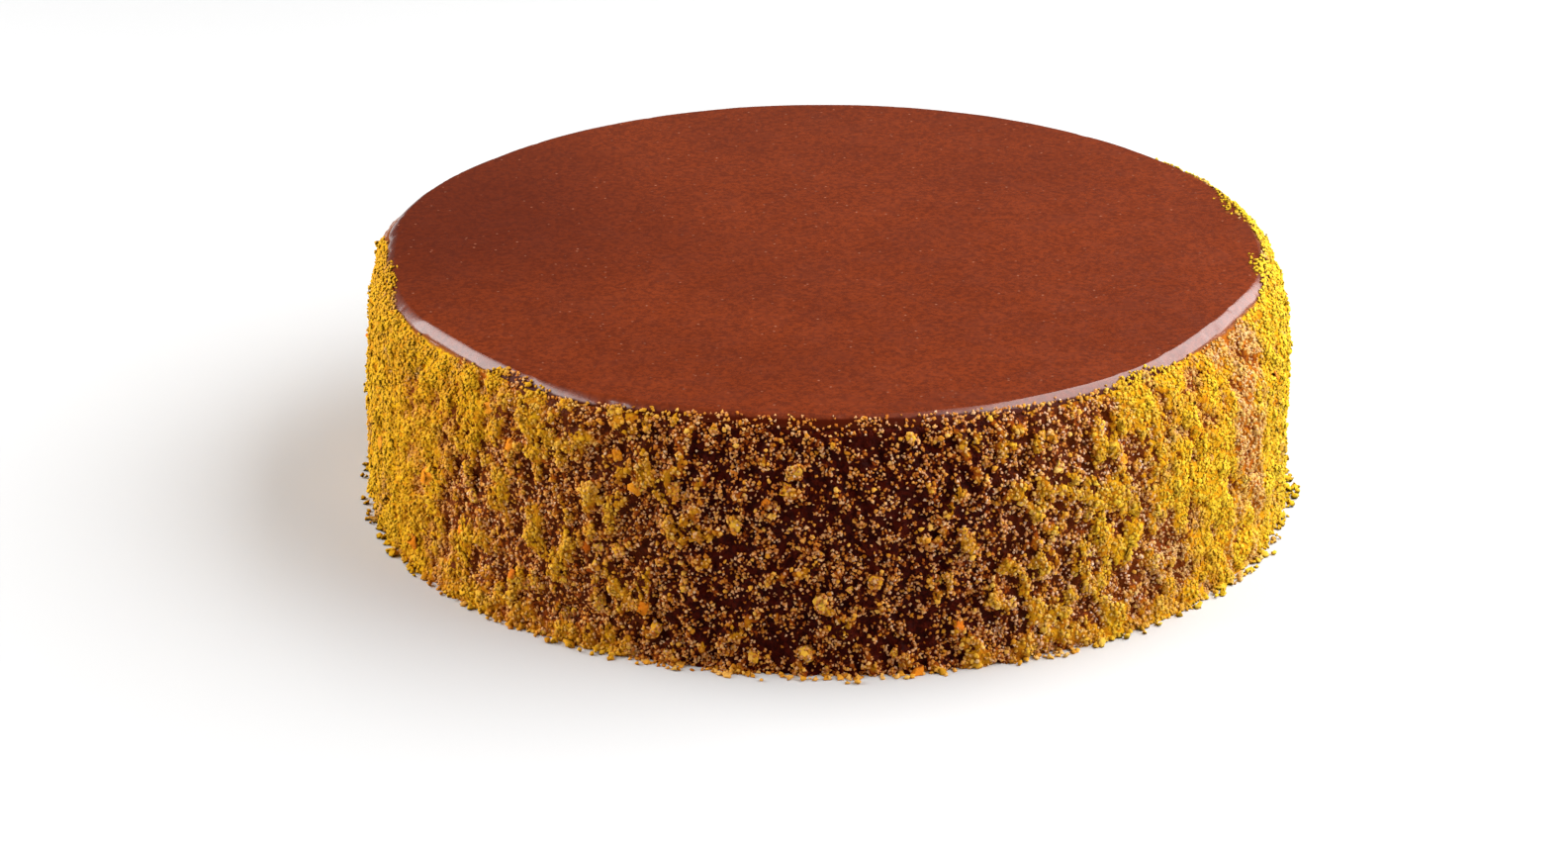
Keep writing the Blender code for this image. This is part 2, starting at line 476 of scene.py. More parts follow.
def mixed(tree, share, a, b):
    """One colour laid over another by a share."""
    return add_node(tree, "ShaderNodeMix", {0: share, 6: a, 7: b}, data_type="RGBA").outputs[2]


def bumped(tree, shader, height, depth, facing=None):
    """Gives the shader a relief of that depth in metres, on its own facing or the one given."""
    inputs = {"Height": height, "Distance": depth}
    if facing is not None:
        inputs["Normal"] = facing
    tree.links.new(add_node(tree, "ShaderNodeBump", inputs).outputs[0], shader.inputs["Normal"])


def side_material():
    """Set glaze, dark partly of its own colour and partly as painted shade among the crumbs, with the crumbs
    bedded in it showing on the heaps.
    """
    material, tree, shader = new_material("glaze and bedded crumbs")
    places = own_places(tree)
    clouds = noise(tree, places, CLOUD_SIZE, detail=2.0, seed=6.0)
    glaze = mixed(tree, clouds, SIDE_GLAZE_AND_SHADE_DARK, SIDE_GLAZE_AND_SHADE)
    dust = noise(tree, places, DUST_SIZE, detail=2.0, roughness=0.6, seed=15.0)
    dusty = product(tree, stretched(tree, dust, *DUST_FROM_TO), DUST_SHARE)
    glaze = mixed(tree, dusty, glaze, SIDE_SOAK)
    glaze = mixed(tree, stretched(tree, stored(tree, "thinness"), *GAPS_FROM_TO), glaze, THICK_GAPS)

    patches = noise(tree, places, BEDDED_PATCH_SIZE, detail=1.0, seed=7.0)
    crumbs = mixed(tree, stretched(tree, patches, *NOISE_MIDDLE), BEDDED_CRUMBS_DULL, BEDDED_CRUMBS)
    crumbs = mixed(tree, stretched(tree, stored(tree, "beige"), *THIN_FROM_TO), crumbs, SOAKED_CRUMBS)
    grains = noise(tree, places, GRAIN_SIZE, detail=2.0, roughness=0.6, seed=2.0)
    soaked = product(tree, stretched(tree, grains, *SOAKED_FROM_TO), SOAKED_SHARE)
    crumbs = mixed(tree, soaked, crumbs, SOAKED_CRUMBS)

    cluster = stored(tree, "cluster")
    bed = product(tree, stored(tree, "heap"), blended(tree, cluster, BED_OFF_CLUSTERS, 1.0))
    bed = maths(tree, "MAXIMUM", bed, product(tree, cluster, BED_OFF_HEAPS))
    bedded = stretched(tree, total(tree, bed, swung(tree, grains, GRAIN_REACH)), *NOISE_MIDDLE)
    bare = stretched(tree, stored(tree, "below"), *BARE_FROM_TO)
    colour = mixed(tree, bare, mixed(tree, bedded, glaze, crumbs), BARE_GLAZE)
    tree.links.new(colour, shader.inputs["Base Color"])
    rough = stretched(tree, bedded, 0, 1, *SIDE_ROUGHNESS)
    tree.links.new(blended(tree, bare, rough, BARE_ROUGHNESS), shader.inputs["Roughness"])
    tree.links.new(blended(tree, bare, SIDE_GLOSS, BARE_GLOSS), shader.inputs["Specular IOR Level"])
    bumped(tree, shader, product(tree, grains, less(tree, 1.0, bare)), GRAIN_DEPTH)
    return material


def glazed_side():
    """The side and the flat underside, closed at the top under the glaze."""
    outline = [(0, SIDE_TOP)] + side_outline()
    for ring in range(UNDERSIDE_RINGS, 0, -1):
        outline.append(((CAKE_RADIUS - CRUMB_COAT) * (ring - 0.5) / UNDERSIDE_RINGS, 0))
    outline.append((0, 0))
    piece = crumb_ground(turned("glazed_side", outline, SIDE_SEGMENTS))
    piece.data.shade_smooth()
    piece.data.set_sharp_from_angle(angle=SIDE_SHARP_EDGE)
    piece.data.materials.append(side_material())
    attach(piece, "root")
    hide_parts("crumbed_cake")


glazed_side()


# ---- The caramel glaze over the top ----
# Poured warm over the whole cake and set: level, with a satin gloss, and rolled over at its rim.
# It is turned from an outline with a bevelled rim, which wavers and is nicked along its upper edge.
RIM_FULLNESS = 1.35  # 1 is a flat bevel, 2 a round rim
RIM_STEPS = 10
CREASE_RING = 0.0005  # a ring this far in keeps the top flat up to the crease
SKIRT_DROP = 0.0012  # how far the glaze runs on down behind the crumbs
SKIRT_IN = (0.0010, 0.0022)  # and in from its widest, half way down and at the bottom
TOP_SHARP_EDGE = math.radians(15)
GLAZE_SEGMENTS = 900
TOP_RINGS = 22
RIM_WAVE_SIZE = 0.014
RIM_WAVE_DEPTH = 0.0008
RIM_WAVE_START = 0.004  # in from the crease
NICK_SIZE = 0.0065
NICK_DEPTH = 0.0003
NICK_FROM_TO = (0.56, 0.72)
SWELL_SIZE = 0.05
SWELL_DEPTH = 0.00012
SWELL_LEVEL = 0.001  # only what is this far above the underside of the glaze swells

# Its finish
GLAZE_COLOUR = (0.206, 0.0314, 0.0062, 1)
GLAZE_DARK = (0.175, 0.0260, 0.0052, 1)
GLAZE_BLOOM = (0.155, 0.0290, 0.0110, 1)
GLAZE_THIN = (0.28, 0.085, 0.030, 1)
GLAZE_SPECK = (0.42, 0.16, 0.09, 1)
GLAZE_GRAIN = (0.060, 0.0080, 0.0030, 1)
GLAZE_PAINTED_SHADE = (0.112, 0.0148, 0.0036, 1)
PAINTED_SHADE_AT = (-0.105, 0.020, 0.067)  # painted shade: the top is coloured darker towards this place
PAINTED_SHADE_FROM_TO = (0.085, 0.015)  # away from there
PAINTED_SHADE_SHARE = 0.8
GLAZE_REFRACTION = 1.58
GLAZE_GLOSS = 0.5
GLAZE_ROUGHNESS = (0.235, 0.285)
GLAZE_RELIEF = 0.000018
TONE_SIZE = 0.028  # of the clouds of its two tones
BLOOM_SIZE = 0.011
BLOOM_FROM_TO = (0.47, 0.74)
BLOOM_SHARE = 0.35
POLISH_SIZE = 0.008
POLISH_FROM_TO = (0.3, 0.7)
SKIN_SIZE = 0.0014
FINE_SIZE = 0.0013
FINE_SHARE = 0.58
SPECK_APART = 0.0028
SPECK_FROM_TO = (0.16, 0.05)  # a speck's edge and its middle, as shares of that
SPECK_SHARE = 0.8
PICKED_FROM_TO = (0.35, 0.9)  # by chance: a third of the specks are left out and a tenth are whole
THIN_DEPTHS = (0.0014, 0.0024)  # below the top, where the rim begins to thin and where it is thin
THIN_SHARE = 0.6
UNDER_CRUMBS_FROM_TO = (0.0001, 0.0009)  # below the line
UNDER_CRUMBS_SHARE = 0.85


def wavering_glaze_tree():
    """Lets the rim waver and nicks its upper edge, and swells the top by a little."""
    tree, given, result = geometry_tree("wavering glaze", (
        "Rim Radius", "Rim Width", "Wave Size", "Wave Depth", "Wave Start", "Nick Size", "Nick Depth",
        "Swell Size", "Swell Depth", "Level",
    ))
    position, outwards, radius, height = about_axis(tree)
    crease = less(tree, given["Rim Radius"], given["Rim Width"])
    on_rim = stretched(tree, radius, less(tree, crease, given["Wave Start"]), crease)
    waves = noise(tree, position, given["Wave Size"], detail=1.0, seed=3.2)
    wave = swung(tree, waves, given["Wave Depth"])
    nicks = noise(tree, position, given["Nick Size"], detail=1.0, seed=6.6)
    nick = product(tree, stretched(tree, nicks, *NICK_FROM_TO), given["Nick Depth"])
    sideways_by = product(tree, less(tree, wave, nick), on_rim)
    sideways = vector_maths(tree, "SCALE", outwards, scale=sideways_by)

    swells = noise(tree, position, given["Swell Size"], seed=5.5)
    on_top = maths(tree, "GREATER_THAN", height, given["Level"])
    swell = product(tree, swung(tree, swells, given["Swell Depth"]), on_top)
    upwards = add_node(tree, "ShaderNodeCombineXYZ", {2: swell}).outputs[0]
    offset = vector_maths(tree, "ADD", sideways, upwards)
    moved = add_node(tree, "GeometryNodeSetPosition", {"Geometry": given["Geometry"], "Offset": offset})
    tree.links.new(moved.outputs[0], result[0])
    return tree


def glaze_material():
    """Red-brown caramel, clouded and faintly bloomed, with pale specks, and thinner at its lower edge."""
    material, tree, shader = new_material("caramel glaze")
    places = own_places(tree)
    tones = noise(tree, places, TONE_SIZE, detail=3.0, roughness=0.6, seed=1.0)
    colour = mixed(tree, stretched(tree, tones, *NOISE_MIDDLE), GLAZE_DARK, GLAZE_COLOUR)
    blooms = noise(tree, places, BLOOM_SIZE, detail=4.0, roughness=0.65, seed=9.0)
    bloom = product(tree, stretched(tree, blooms, *BLOOM_FROM_TO), BLOOM_SHARE)
    colour = mixed(tree, bloom, colour, GLAZE_BLOOM)
    # Painted shade: the top is coloured darker towards its left back
    away = vector_maths(tree, "LENGTH", vector_maths(tree, "SUBTRACT", places, PAINTED_SHADE_AT))
    painted_shade = product(tree, stretched(tree, away, *PAINTED_SHADE_FROM_TO), PAINTED_SHADE_SHARE)
    colour = mixed(tree, painted_shade, colour, GLAZE_PAINTED_SHADE)

    height = add_node(tree, "ShaderNodeSeparateXYZ", {0: places}).outputs[2]
    thin = stretched(tree, height, CAKE_TOP - THIN_DEPTHS[0], CAKE_TOP - THIN_DEPTHS[1])
    colour = mixed(tree, product(tree, thin, THIN_SHARE), colour, GLAZE_THIN)
    # Under the crumbs the glaze takes the side's dark colour, which is partly painted shade
    under_crumbs = stretched(tree, stored(tree, "below"), *UNDER_CRUMBS_FROM_TO)
    colour = mixed(tree, product(tree, under_crumbs, UNDER_CRUMBS_SHARE), colour, SIDE_GLAZE_AND_SHADE)

    cells = add_node(tree, "ShaderNodeTexVoronoi", {"Vector": places, "Scale": 1 / SPECK_APART})
    chance = add_node(tree, "ShaderNodeSeparateColor", {0: cells.outputs["Color"]}).outputs[0]
    spot = stretched(tree, cells.outputs["Distance"], *SPECK_FROM_TO)
    speck = product(tree, spot, stretched(tree, chance, *PICKED_FROM_TO))
    colour = mixed(tree, product(tree, speck, SPECK_SHARE), colour, GLAZE_SPECK)
    grains = noise(tree, places, FINE_SIZE, detail=3.0, roughness=0.75, seed=12.0)
    fine = product(tree, stretched(tree, grains, *NOISE_MIDDLE), FINE_SHARE)
    colour = mixed(tree, fine, colour, GLAZE_GRAIN)
    tree.links.new(colour, shader.inputs["Base Color"])

    polish = noise(tree, places, POLISH_SIZE, detail=3.0, seed=7.0)
    rough = stretched(tree, polish, *POLISH_FROM_TO, *GLAZE_ROUGHNESS)
    tree.links.new(rough, shader.inputs["Roughness"])
    shader.inputs["IOR"].default_value = GLAZE_REFRACTION
    gloss = blended(tree, under_crumbs, GLAZE_GLOSS, SIDE_GLOSS)
    tree.links.new(gloss, shader.inputs["Specular IOR Level"])
    skin = noise(tree, places, SKIN_SIZE, detail=2.0, seed=4.0)
    bumped(tree, shader, total(tree, skin, speck), GLAZE_RELIEF)
    return material


def rim_outline():
    """The rim from its crease out to its widest, fuller than a bevel but not quite round."""
    points = []
    for step in range(RIM_STEPS + 1):
        turn = step / RIM_STEPS * math.pi / 2
        across = math.sin(turn) ** (2 / RIM_FULLNESS)
        down = 1 - max(0.0, math.cos(turn)) ** (2 / RIM_FULLNESS)
        points.append((GLAZE_RADIUS - RIM_WIDTH * (1 - across), CAKE_TOP - RIM_HEIGHT * down))
    return points


def glaze_top():
    """The glaze as a closed piece: its flat top, its rim, a skirt behind the crumbs and its underside."""
    crease = GLAZE_RADIUS - RIM_WIDTH
    bottom = CAKE_TOP - RIM_HEIGHT - SKIRT_DROP
    outline = [(crease * ring / TOP_RINGS, CAKE_TOP) for ring in range(TOP_RINGS)]
    outline += [(crease - CREASE_RING, CAKE_TOP)] + rim_outline()
    outline += [(GLAZE_RADIUS - SKIRT_IN[0], bottom + SKIRT_DROP / 2), (GLAZE_RADIUS - SKIRT_IN[1], bottom)]
    outline += [(GLAZE_RADIUS / 2, bottom), (0, bottom)]
    piece = turned("caramel_top", outline, GLAZE_SEGMENTS)
    run_tree(piece, wavering_glaze_tree(), {
        "Rim Radius": GLAZE_RADIUS, "Rim Width": RIM_WIDTH,
        "Wave Size": RIM_WAVE_SIZE, "Wave Depth": RIM_WAVE_DEPTH, "Wave Start": RIM_WAVE_START,
        "Nick Size": NICK_SIZE, "Nick Depth": NICK_DEPTH,
        "Swell Size": SWELL_SIZE, "Swell Depth": SWELL_DEPTH, "Level": bottom + SWELL_LEVEL,
    })
    crumb_ground(piece)
    piece.data.shade_smooth()
    piece.data.set_sharp_from_angle(angle=TOP_SHARP_EDGE)
    piece.data.materials.append(glaze_material())
    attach(piece, "root")
    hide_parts("caramel_glaze")


glaze_top()


# ---- The crumbs on the side ----
# Dry yellow sponge rubbed to crumbs and pressed by hand into the wet glaze, over the lower part of the rim
# too. Clumps are laid first, on a copy of the side and rim, then each finer kind over that and the clumps.
FINE = dict(lift=0.0004, sunk=0.08, tallness=1.0, flatness=1.0, tilt=3.1)
FINEST = dict(FINE, on_bare=1.0, clear=0.0, segments=4, rings=2, dent=0.34)
CRUMB_KINDS = {
    "crumb_clumps": dict(
        per_cm2=2.7, smallest=0.0020, largest=0.0034, in_gaps=0.1, on_bare=0.14, on_heap=1.0,
        clear=0.0010, lift=0.0, sunk=0.15, tallness=1.3, flatness=0.6, tilt=0.3,
        segments=8, rings=6, dent=0.42, dent_size=0.0008, seed=5,
        tones=((0.66, 0.24, 0.006), (0.90, 0.43, 0.025), (0.95, 0.58, 0.070)),
    ),
    "crumbs_yellow": dict(
        FINE, per_cm2=17, smallest=0.0010, largest=0.0016, in_gaps=0.15, on_bare=0.15, on_heap=1.0,
        clear=0.0004, segments=5, rings=3, dent=0.34, dent_size=0.0006, seed=3,
        tones=((0.54, 0.17, 0.008), (0.84, 0.365, 0.030), (0.92, 0.52, 0.10)),
    ),
    "crumbs_golden": dict(
        FINE, per_cm2=35, smallest=0.0008, largest=0.0014, in_gaps=0.07, on_bare=1.0, on_heap=0.85,
        clear=0.0002, segments=4, rings=2, dent=0.30, dent_size=0.0005, seed=2,
        tones=((0.44, 0.13, 0.010), (0.82, 0.340, 0.055), (0.92, 0.54, 0.17)),
    ),
    "crumbs_amber": dict(
        FINEST, per_cm2=44, smallest=0.0008, largest=0.0013, in_gaps=0.18, on_heap=0.6,
        dent_size=0.0005, seed=7,
        tones=((0.18, 0.028, 0.004), (0.60, 0.180, 0.020), (0.85, 0.38, 0.06)),
    ),
    "crumbs_sandy": dict(
        FINEST, per_cm2=48, smallest=0.0008, largest=0.0013, in_gaps=0.07, on_heap=0.7,
        dent_size=0.0005, seed=1,
        tones=((0.36, 0.09, 0.016), (0.76, 0.320, 0.085), (0.91, 0.56, 0.26)),
    ),
    "crumbs_pale": dict(
        FINEST, per_cm2=46, smallest=0.0007, largest=0.0011, in_gaps=0.12, on_heap=0.6,
        dent_size=0.0004, seed=4,
        tones=((0.48, 0.16, 0.04), (0.80, 0.415, 0.18), (0.90, 0.64, 0.38)),
    ),
    "crumbs_orange": dict(
        per_cm2=0.05, smallest=0.0026, largest=0.0040, in_gaps=1.0, on_bare=0.5, on_heap=1.0,
        clear=0.004, lift=0.0006, sunk=0.0, tallness=1.2, flatness=0.6, tilt=0.4,
        segments=8, rings=6, dent=0.45, dent_size=0.0010, seed=6,
        tones=((0.58, 0.12, 0.006), (0.80, 0.22, 0.008), (0.86, 0.34, 0.016)),
    ),
    "crumbs_fallen": dict(
        per_cm2=34, smallest=0.0010, largest=0.0022, in_gaps=0.06, on_bare=1.0, on_heap=1.0,
        clear=0.0, lift=0.0006, sunk=-0.12, tallness=1.0, flatness=0.8, tilt=1.0,
        segments=6, rings=4, dent=0.5, dent_size=0.0008, seed=8,
        tones=((0.46, 0.15, 0.010), (0.84, 0.37, 0.030), (0.93, 0.54, 0.14)),
    ),
}
CM2_IN_M2 = 10000.0
SMALL_OFTEN = 1.6  # 1 gives as many large crumbs as small ones
BALL_RADIUS = 0.5  # a crumb starts as a ball one across, and takes its size from its scale
NARROWEST = (0.75, 0.75, 0.75)  # its width each way, against its size
WIDEST = (1.25, 1.25, 1.25)
MID_GREY = (0.5, 0.5, 0.5)
FROM_GREY = 2.0  # takes a noise's swing about mid grey to a whole one either way
LINE_SOFTNESS = (-0.0002, 0.0003)  # crumbs come to their full number over this depth about the line
CLUMP_FACING = (0.1, 0.5)  # how squarely a clump's face looks outwards, from bare to crumbed
CLUMP_BELOW = (-0.001, 0.004)  # and the depth below the line that it counts as having
FLOOR_CLEARANCE = 0.00005
FALL_WIDTH = 0.0044  # some crumbs have dropped this far out from the foot
FALL_STEPS = 5
FALL_OVERLAP = 0.1  # of that width, in under the foot
OVER_TOP = 0.006  # crumbs may lie this far in from the rim's crease
OVER_TOP_STEPS = 4

# Their finish
MIDDLE_TONE_AT = 0.38  # where the second of three tones comes
PACKED_TONES = ((0.79, 0.39, 0.006), (0.83, 0.45, 0.010), (0.85, 0.51, 0.028))  # where crumbs are heaped
# Between the heaps the packed crumbs take darker tones, which is painted shade
HOLLOW_SHADE_TONES = ((0.50, 0.17, 0.003), (0.62, 0.24, 0.007), (0.72, 0.33, 0.028))  # and between the heaps
LEMON_TINT = (1.03, 1.27, 2.0)  # the right of the cake has paler, yellower crumbs
LEMON_FROM_TO = (0.0, 0.105)  # rightwards of the middle
SAND = (0.57, 0.295, 0.062, 1)  # the dull crumbs of a sandy place
STAINED_AND_SHADED = (0.14, 0.015, 0.002, 1)  # a crumb's foot, wet with glaze, and partly painted shade
SHADED = (0.48, 0.108, 0.002, 1)  # deep among packed crumbs
THICK_FROM_TO = (0.25, 0.02)  # the thinness over which crumbs come to lie thick
WET_FROM_TO = (0.30, 0.50)  # over which they are wetted by the glaze
SAND_FROM_TO = (0.55, 0.35)  # and over which beige ones turn sandy
SAND_SHARE = 0.8
DEEP_FROM_TO = (0.0007, -0.0003)  # how proud of its root a point stands
DEEP_SHARES = (0.65, 0.35, 0.5)  # where crumbs are packed, packed thick, and thin
STAIN_AND_SHADE_FROM_TO = (0.0003, -0.0003)
STAIN_AND_SHADE_SHARES = (0.15, 0.9)  # dry and wet
MOTTLE_SIZE = 0.0005
MOTTLE_SHARES = (0.3, 0.15)  # where they lie thin and thick
CRUMB_RELIEF = 0.00015
CRUMB_ROUGHNESS = 0.5
CRUMB_GLOSS = 0.05
SOFTNESS = 0.65  # packed crumbs pass the light on to one another, which takes off their shading
SOFTNESS_THICK = 0.95
MEAN_TONE = 0.5
EVENNESS = 0.8  # how far their tones are brought towards it where they lie thick, and half that elsewhere
LEAST_CREST = 0.65  # and each of them counts as at least this near a crest


def crumb_bed():
    """A copy of the rim and the side to lay the crumbs on, which is taken away when they are laid."""
    inner = GLAZE_RADIUS - RIM_WIDTH - OVER_TOP
    on_top = [(inner + OVER_TOP * step / OVER_TOP_STEPS, CAKE_TOP) for step in range(OVER_TOP_STEPS)]
    bed = turned("crumb bed", on_top + rim_outline() + side_outline()[1:], SIDE_SEGMENTS)
    return crumb_ground(bed)


def fallen_bed():
    """A ring of the floor round the foot, which is taken away too."""
    outline = []
    for step in range(FALL_STEPS + 1):
        outline.append((side_radius(0) + FALL_WIDTH * (step / FALL_STEPS - FALL_OVERLAP), 0))
    return crumb_ground(turned("fallen bed", outline, SIDE_SEGMENTS))


def laying_tree():
    """Lays crumbs over the mesh and dents each one.

    Each crumb gets its 'tone', its 'root' and the way out from there as its 'aim', and each of its points how
    'proud' of the root it stands.
    """
    tree, given, result = geometry_tree("laid crumbs", (
        "Per Square Metre", "Smallest", "Largest", "In Gaps", "On Bare", "On Heap", "Clear", "Lift", "Sunk",
        "Tallness", "Flatness", "Tilt", "Dent", "Dent Size", "Floor",
    ), {"Clumps": "Object", "Segments": "Int", "Rings": "Int", "Seed": "Int", "Material": "Material"})

    def read(name, kind="FLOAT"):
        return add_node(tree, "GeometryNodeInputNamedAttribute", {"Name": name}, data_type=kind).outputs[0]

    def chance(seed):
        return add_node(tree, "FunctionNodeRandomValue", {"Seed": seed}, data_type="FLOAT").outputs[1]

    def chance_between(low, high, seed):
        return add_node(
            tree, "FunctionNodeRandomValue", {0: low, 1: high, "Seed": seed}, data_type="FLOAT_VECTOR"
        ).outputs[0]

    # The ground is the bed and the clumps already on it
    ground = add_node(tree, "GeometryNodeJoinGeometry")
    clumps = add_node(tree, "GeometryNodeObjectInfo", {"Object": given["Clumps"]}).outputs["Geometry"]
    tree.links.new(given["Geometry"], ground.inputs[0])
    tree.links.new(clumps, ground.inputs[0])

    clear_by = less(tree, read("below"), given["Clear"])
    crowding = blended(tree, read("cluster"), given["In Gaps"], 1.0)
    crowding = product(tree, crowding, blended(tree, read("heap"), given["On Bare"], given["On Heap"]))
    cover = product(tree, crowding, stretched(tree, clear_by, *LINE_SOFTNESS))
    density = product(tree, cover, given["Per Square Metre"])
    points = add_node(
        tree, "GeometryNodeDistributePointsOnFaces",
        {"Mesh": ground.outputs[0], "Density": density, "Seed": given["Seed"]},
        distribute_method="RANDOM",
    )
    normal = points.outputs["Normal"]
    place = add_node(tree, "GeometryNodeInputPosition").outputs[0]
    rooted = written(tree, points.outputs["Points"], "root", place, kind="FLOAT_VECTOR")
    rooted = written(tree, rooted, "aim", normal, kind="FLOAT_VECTOR")
    small_more_often = maths(tree, "POWER", chance(12), SMALL_OFTEN)
    size = add_node(
        tree, "ShaderNodeMapRange",
        {"Value": small_more_often, "To Min": given["Smallest"], "To Max": given["Largest"]},
    ).outputs[0]
    sunk = product(tree, size, given["Sunk"])
    lift = product(tree, read("heap"), less(tree, product(tree, chance(20), given["Lift"]), sunk))
    lift = vector_maths(tree, "SCALE", read("aim", "FLOAT_VECTOR"), scale=lift)
    lifted = add_node(tree, "GeometryNodeSetPosition", {"Geometry": rooted, "Offset": lift})

    # Each crumb faces out from the ground with its height upright, and is then turned a little or a lot
    faced = add_node(
        tree, "FunctionNodeAlignRotationToVector", {"Vector": read("aim", "FLOAT_VECTOR")}, axis="Z"
    )
    upright = add_node(
        tree, "FunctionNodeAlignRotationToVector", {"Rotation": faced.outputs[0], "Vector": (0, 0, 1)},
        axis="Y", pivot_axis="Z",
    )
    most = add_node(tree, "ShaderNodeCombineXYZ", {n: given["Tilt"] for n in range(3)}).outputs[0]
    least = vector_maths(tree, "SCALE", most, scale=-1.0)
    tilted = add_node(
        tree, "FunctionNodeRotateRotation", {0: upright.outputs[0], 1: chance_between(least, most, 11)},
        rotation_space="LOCAL",
    )
    build = add_node(tree, "ShaderNodeCombineXYZ", {0: 1.0, 1: given["Tallness"], 2: given["Flatness"]})
    squash = vector_maths(tree, "MULTIPLY", chance_between(NARROWEST, WIDEST, 13), build.outputs[0])
    ball = add_node(
        tree, "GeometryNodeMeshUVSphere",
        {"Segments": given["Segments"], "Rings": given["Rings"], "Radius": BALL_RADIUS},
    )
    placed = add_node(
        tree, "GeometryNodeInstanceOnPoints",
        {"Points": lifted.outputs[0], "Instance": ball.outputs[0], "Rotation": tilted.outputs[0],
         "Scale": vector_maths(tree, "SCALE", squash, scale=size)},
    ).outputs[0]
    placed = written(tree, placed, "tone", chance(14), domain="INSTANCE")
    placed = written(tree, placed, "size", size, domain="INSTANCE")
    real = add_node(tree, "GeometryNodeRealizeInstances", {"Geometry": placed}).outputs[0]

    # Dents and bulges, by a noise that moves nothing where it is mid grey, then nothing under the floor
    position = add_node(tree, "GeometryNodeInputPosition").outputs[0]
    fineness = maths(tree, "DIVIDE", 1.0, given["Dent Size"])
    dents = add_node(
        tree, "ShaderNodeTexNoise", {"Vector": position, "Scale": fineness, "Detail": 0.0},
        noise_dimensions="3D",
    ).outputs["Color"]
    dents = vector_maths(tree, "SUBTRACT", dents, MID_GREY)
    dent = vector_maths(tree, "SCALE", dents, scale=product(tree, read("size"), given["Dent"], FROM_GREY))
    real = add_node(tree, "GeometryNodeSetPosition", {"Geometry": real, "Offset": dent}).outputs[0]
    parts = add_node(tree, "ShaderNodeSeparateXYZ", {0: position})
    height = maths(tree, "MAXIMUM", parts.outputs[2], given["Floor"])
    stood = add_node(tree, "ShaderNodeCombineXYZ", {0: parts.outputs[0], 1: parts.outputs[1], 2: height})
    settled = add_node(tree, "GeometryNodeSetPosition", {"Geometry": real, "Position": stood.outputs[0]})
    real = settled.outputs[0]

    from_root = vector_maths(tree, "SUBTRACT", position, read("root", "FLOAT_VECTOR"))
    proud = vector_maths(tree, "DOT_PRODUCT", from_root, read("aim", "FLOAT_VECTOR"))
    real = written(tree, real, "proud", proud)

    # Finer crumbs lie only on a clump's outer side
    _, outwards, _, _ = about_axis(tree)
    own_facing = add_node(tree, "GeometryNodeInputNormal").outputs[0]
    facing = vector_maths(tree, "DOT_PRODUCT", own_facing, outwards)
    real = written(tree, real, "below", stretched(tree, facing, *CLUMP_FACING, *CLUMP_BELOW))
    real = written(tree, real, "heap", 1.0)
    real = written(tree, real, "cluster", 1.0)
    real = add_node(tree, "GeometryNodeSetShadeSmooth", {"Geometry": real}).outputs[0]
    finished = add_node(tree, "GeometryNodeSetMaterial", {"Geometry": real, "Material": given["Material"]})
    tree.links.new(finished.outputs[0], result[0])
    return tree


def ramp(tree, share, tones):
    """A colour from the first tone to the last, through the middle one."""
    node = add_node(tree, "ShaderNodeValToRGB", {0: share})
    node.color_ramp.elements[0].color = (*tones[0], 1)
    node.color_ramp.elements[1].color = (*tones[2], 1)
    node.color_ramp.elements.new(MIDDLE_TONE_AT).color = (*tones[1], 1)
    return node.outputs[0]


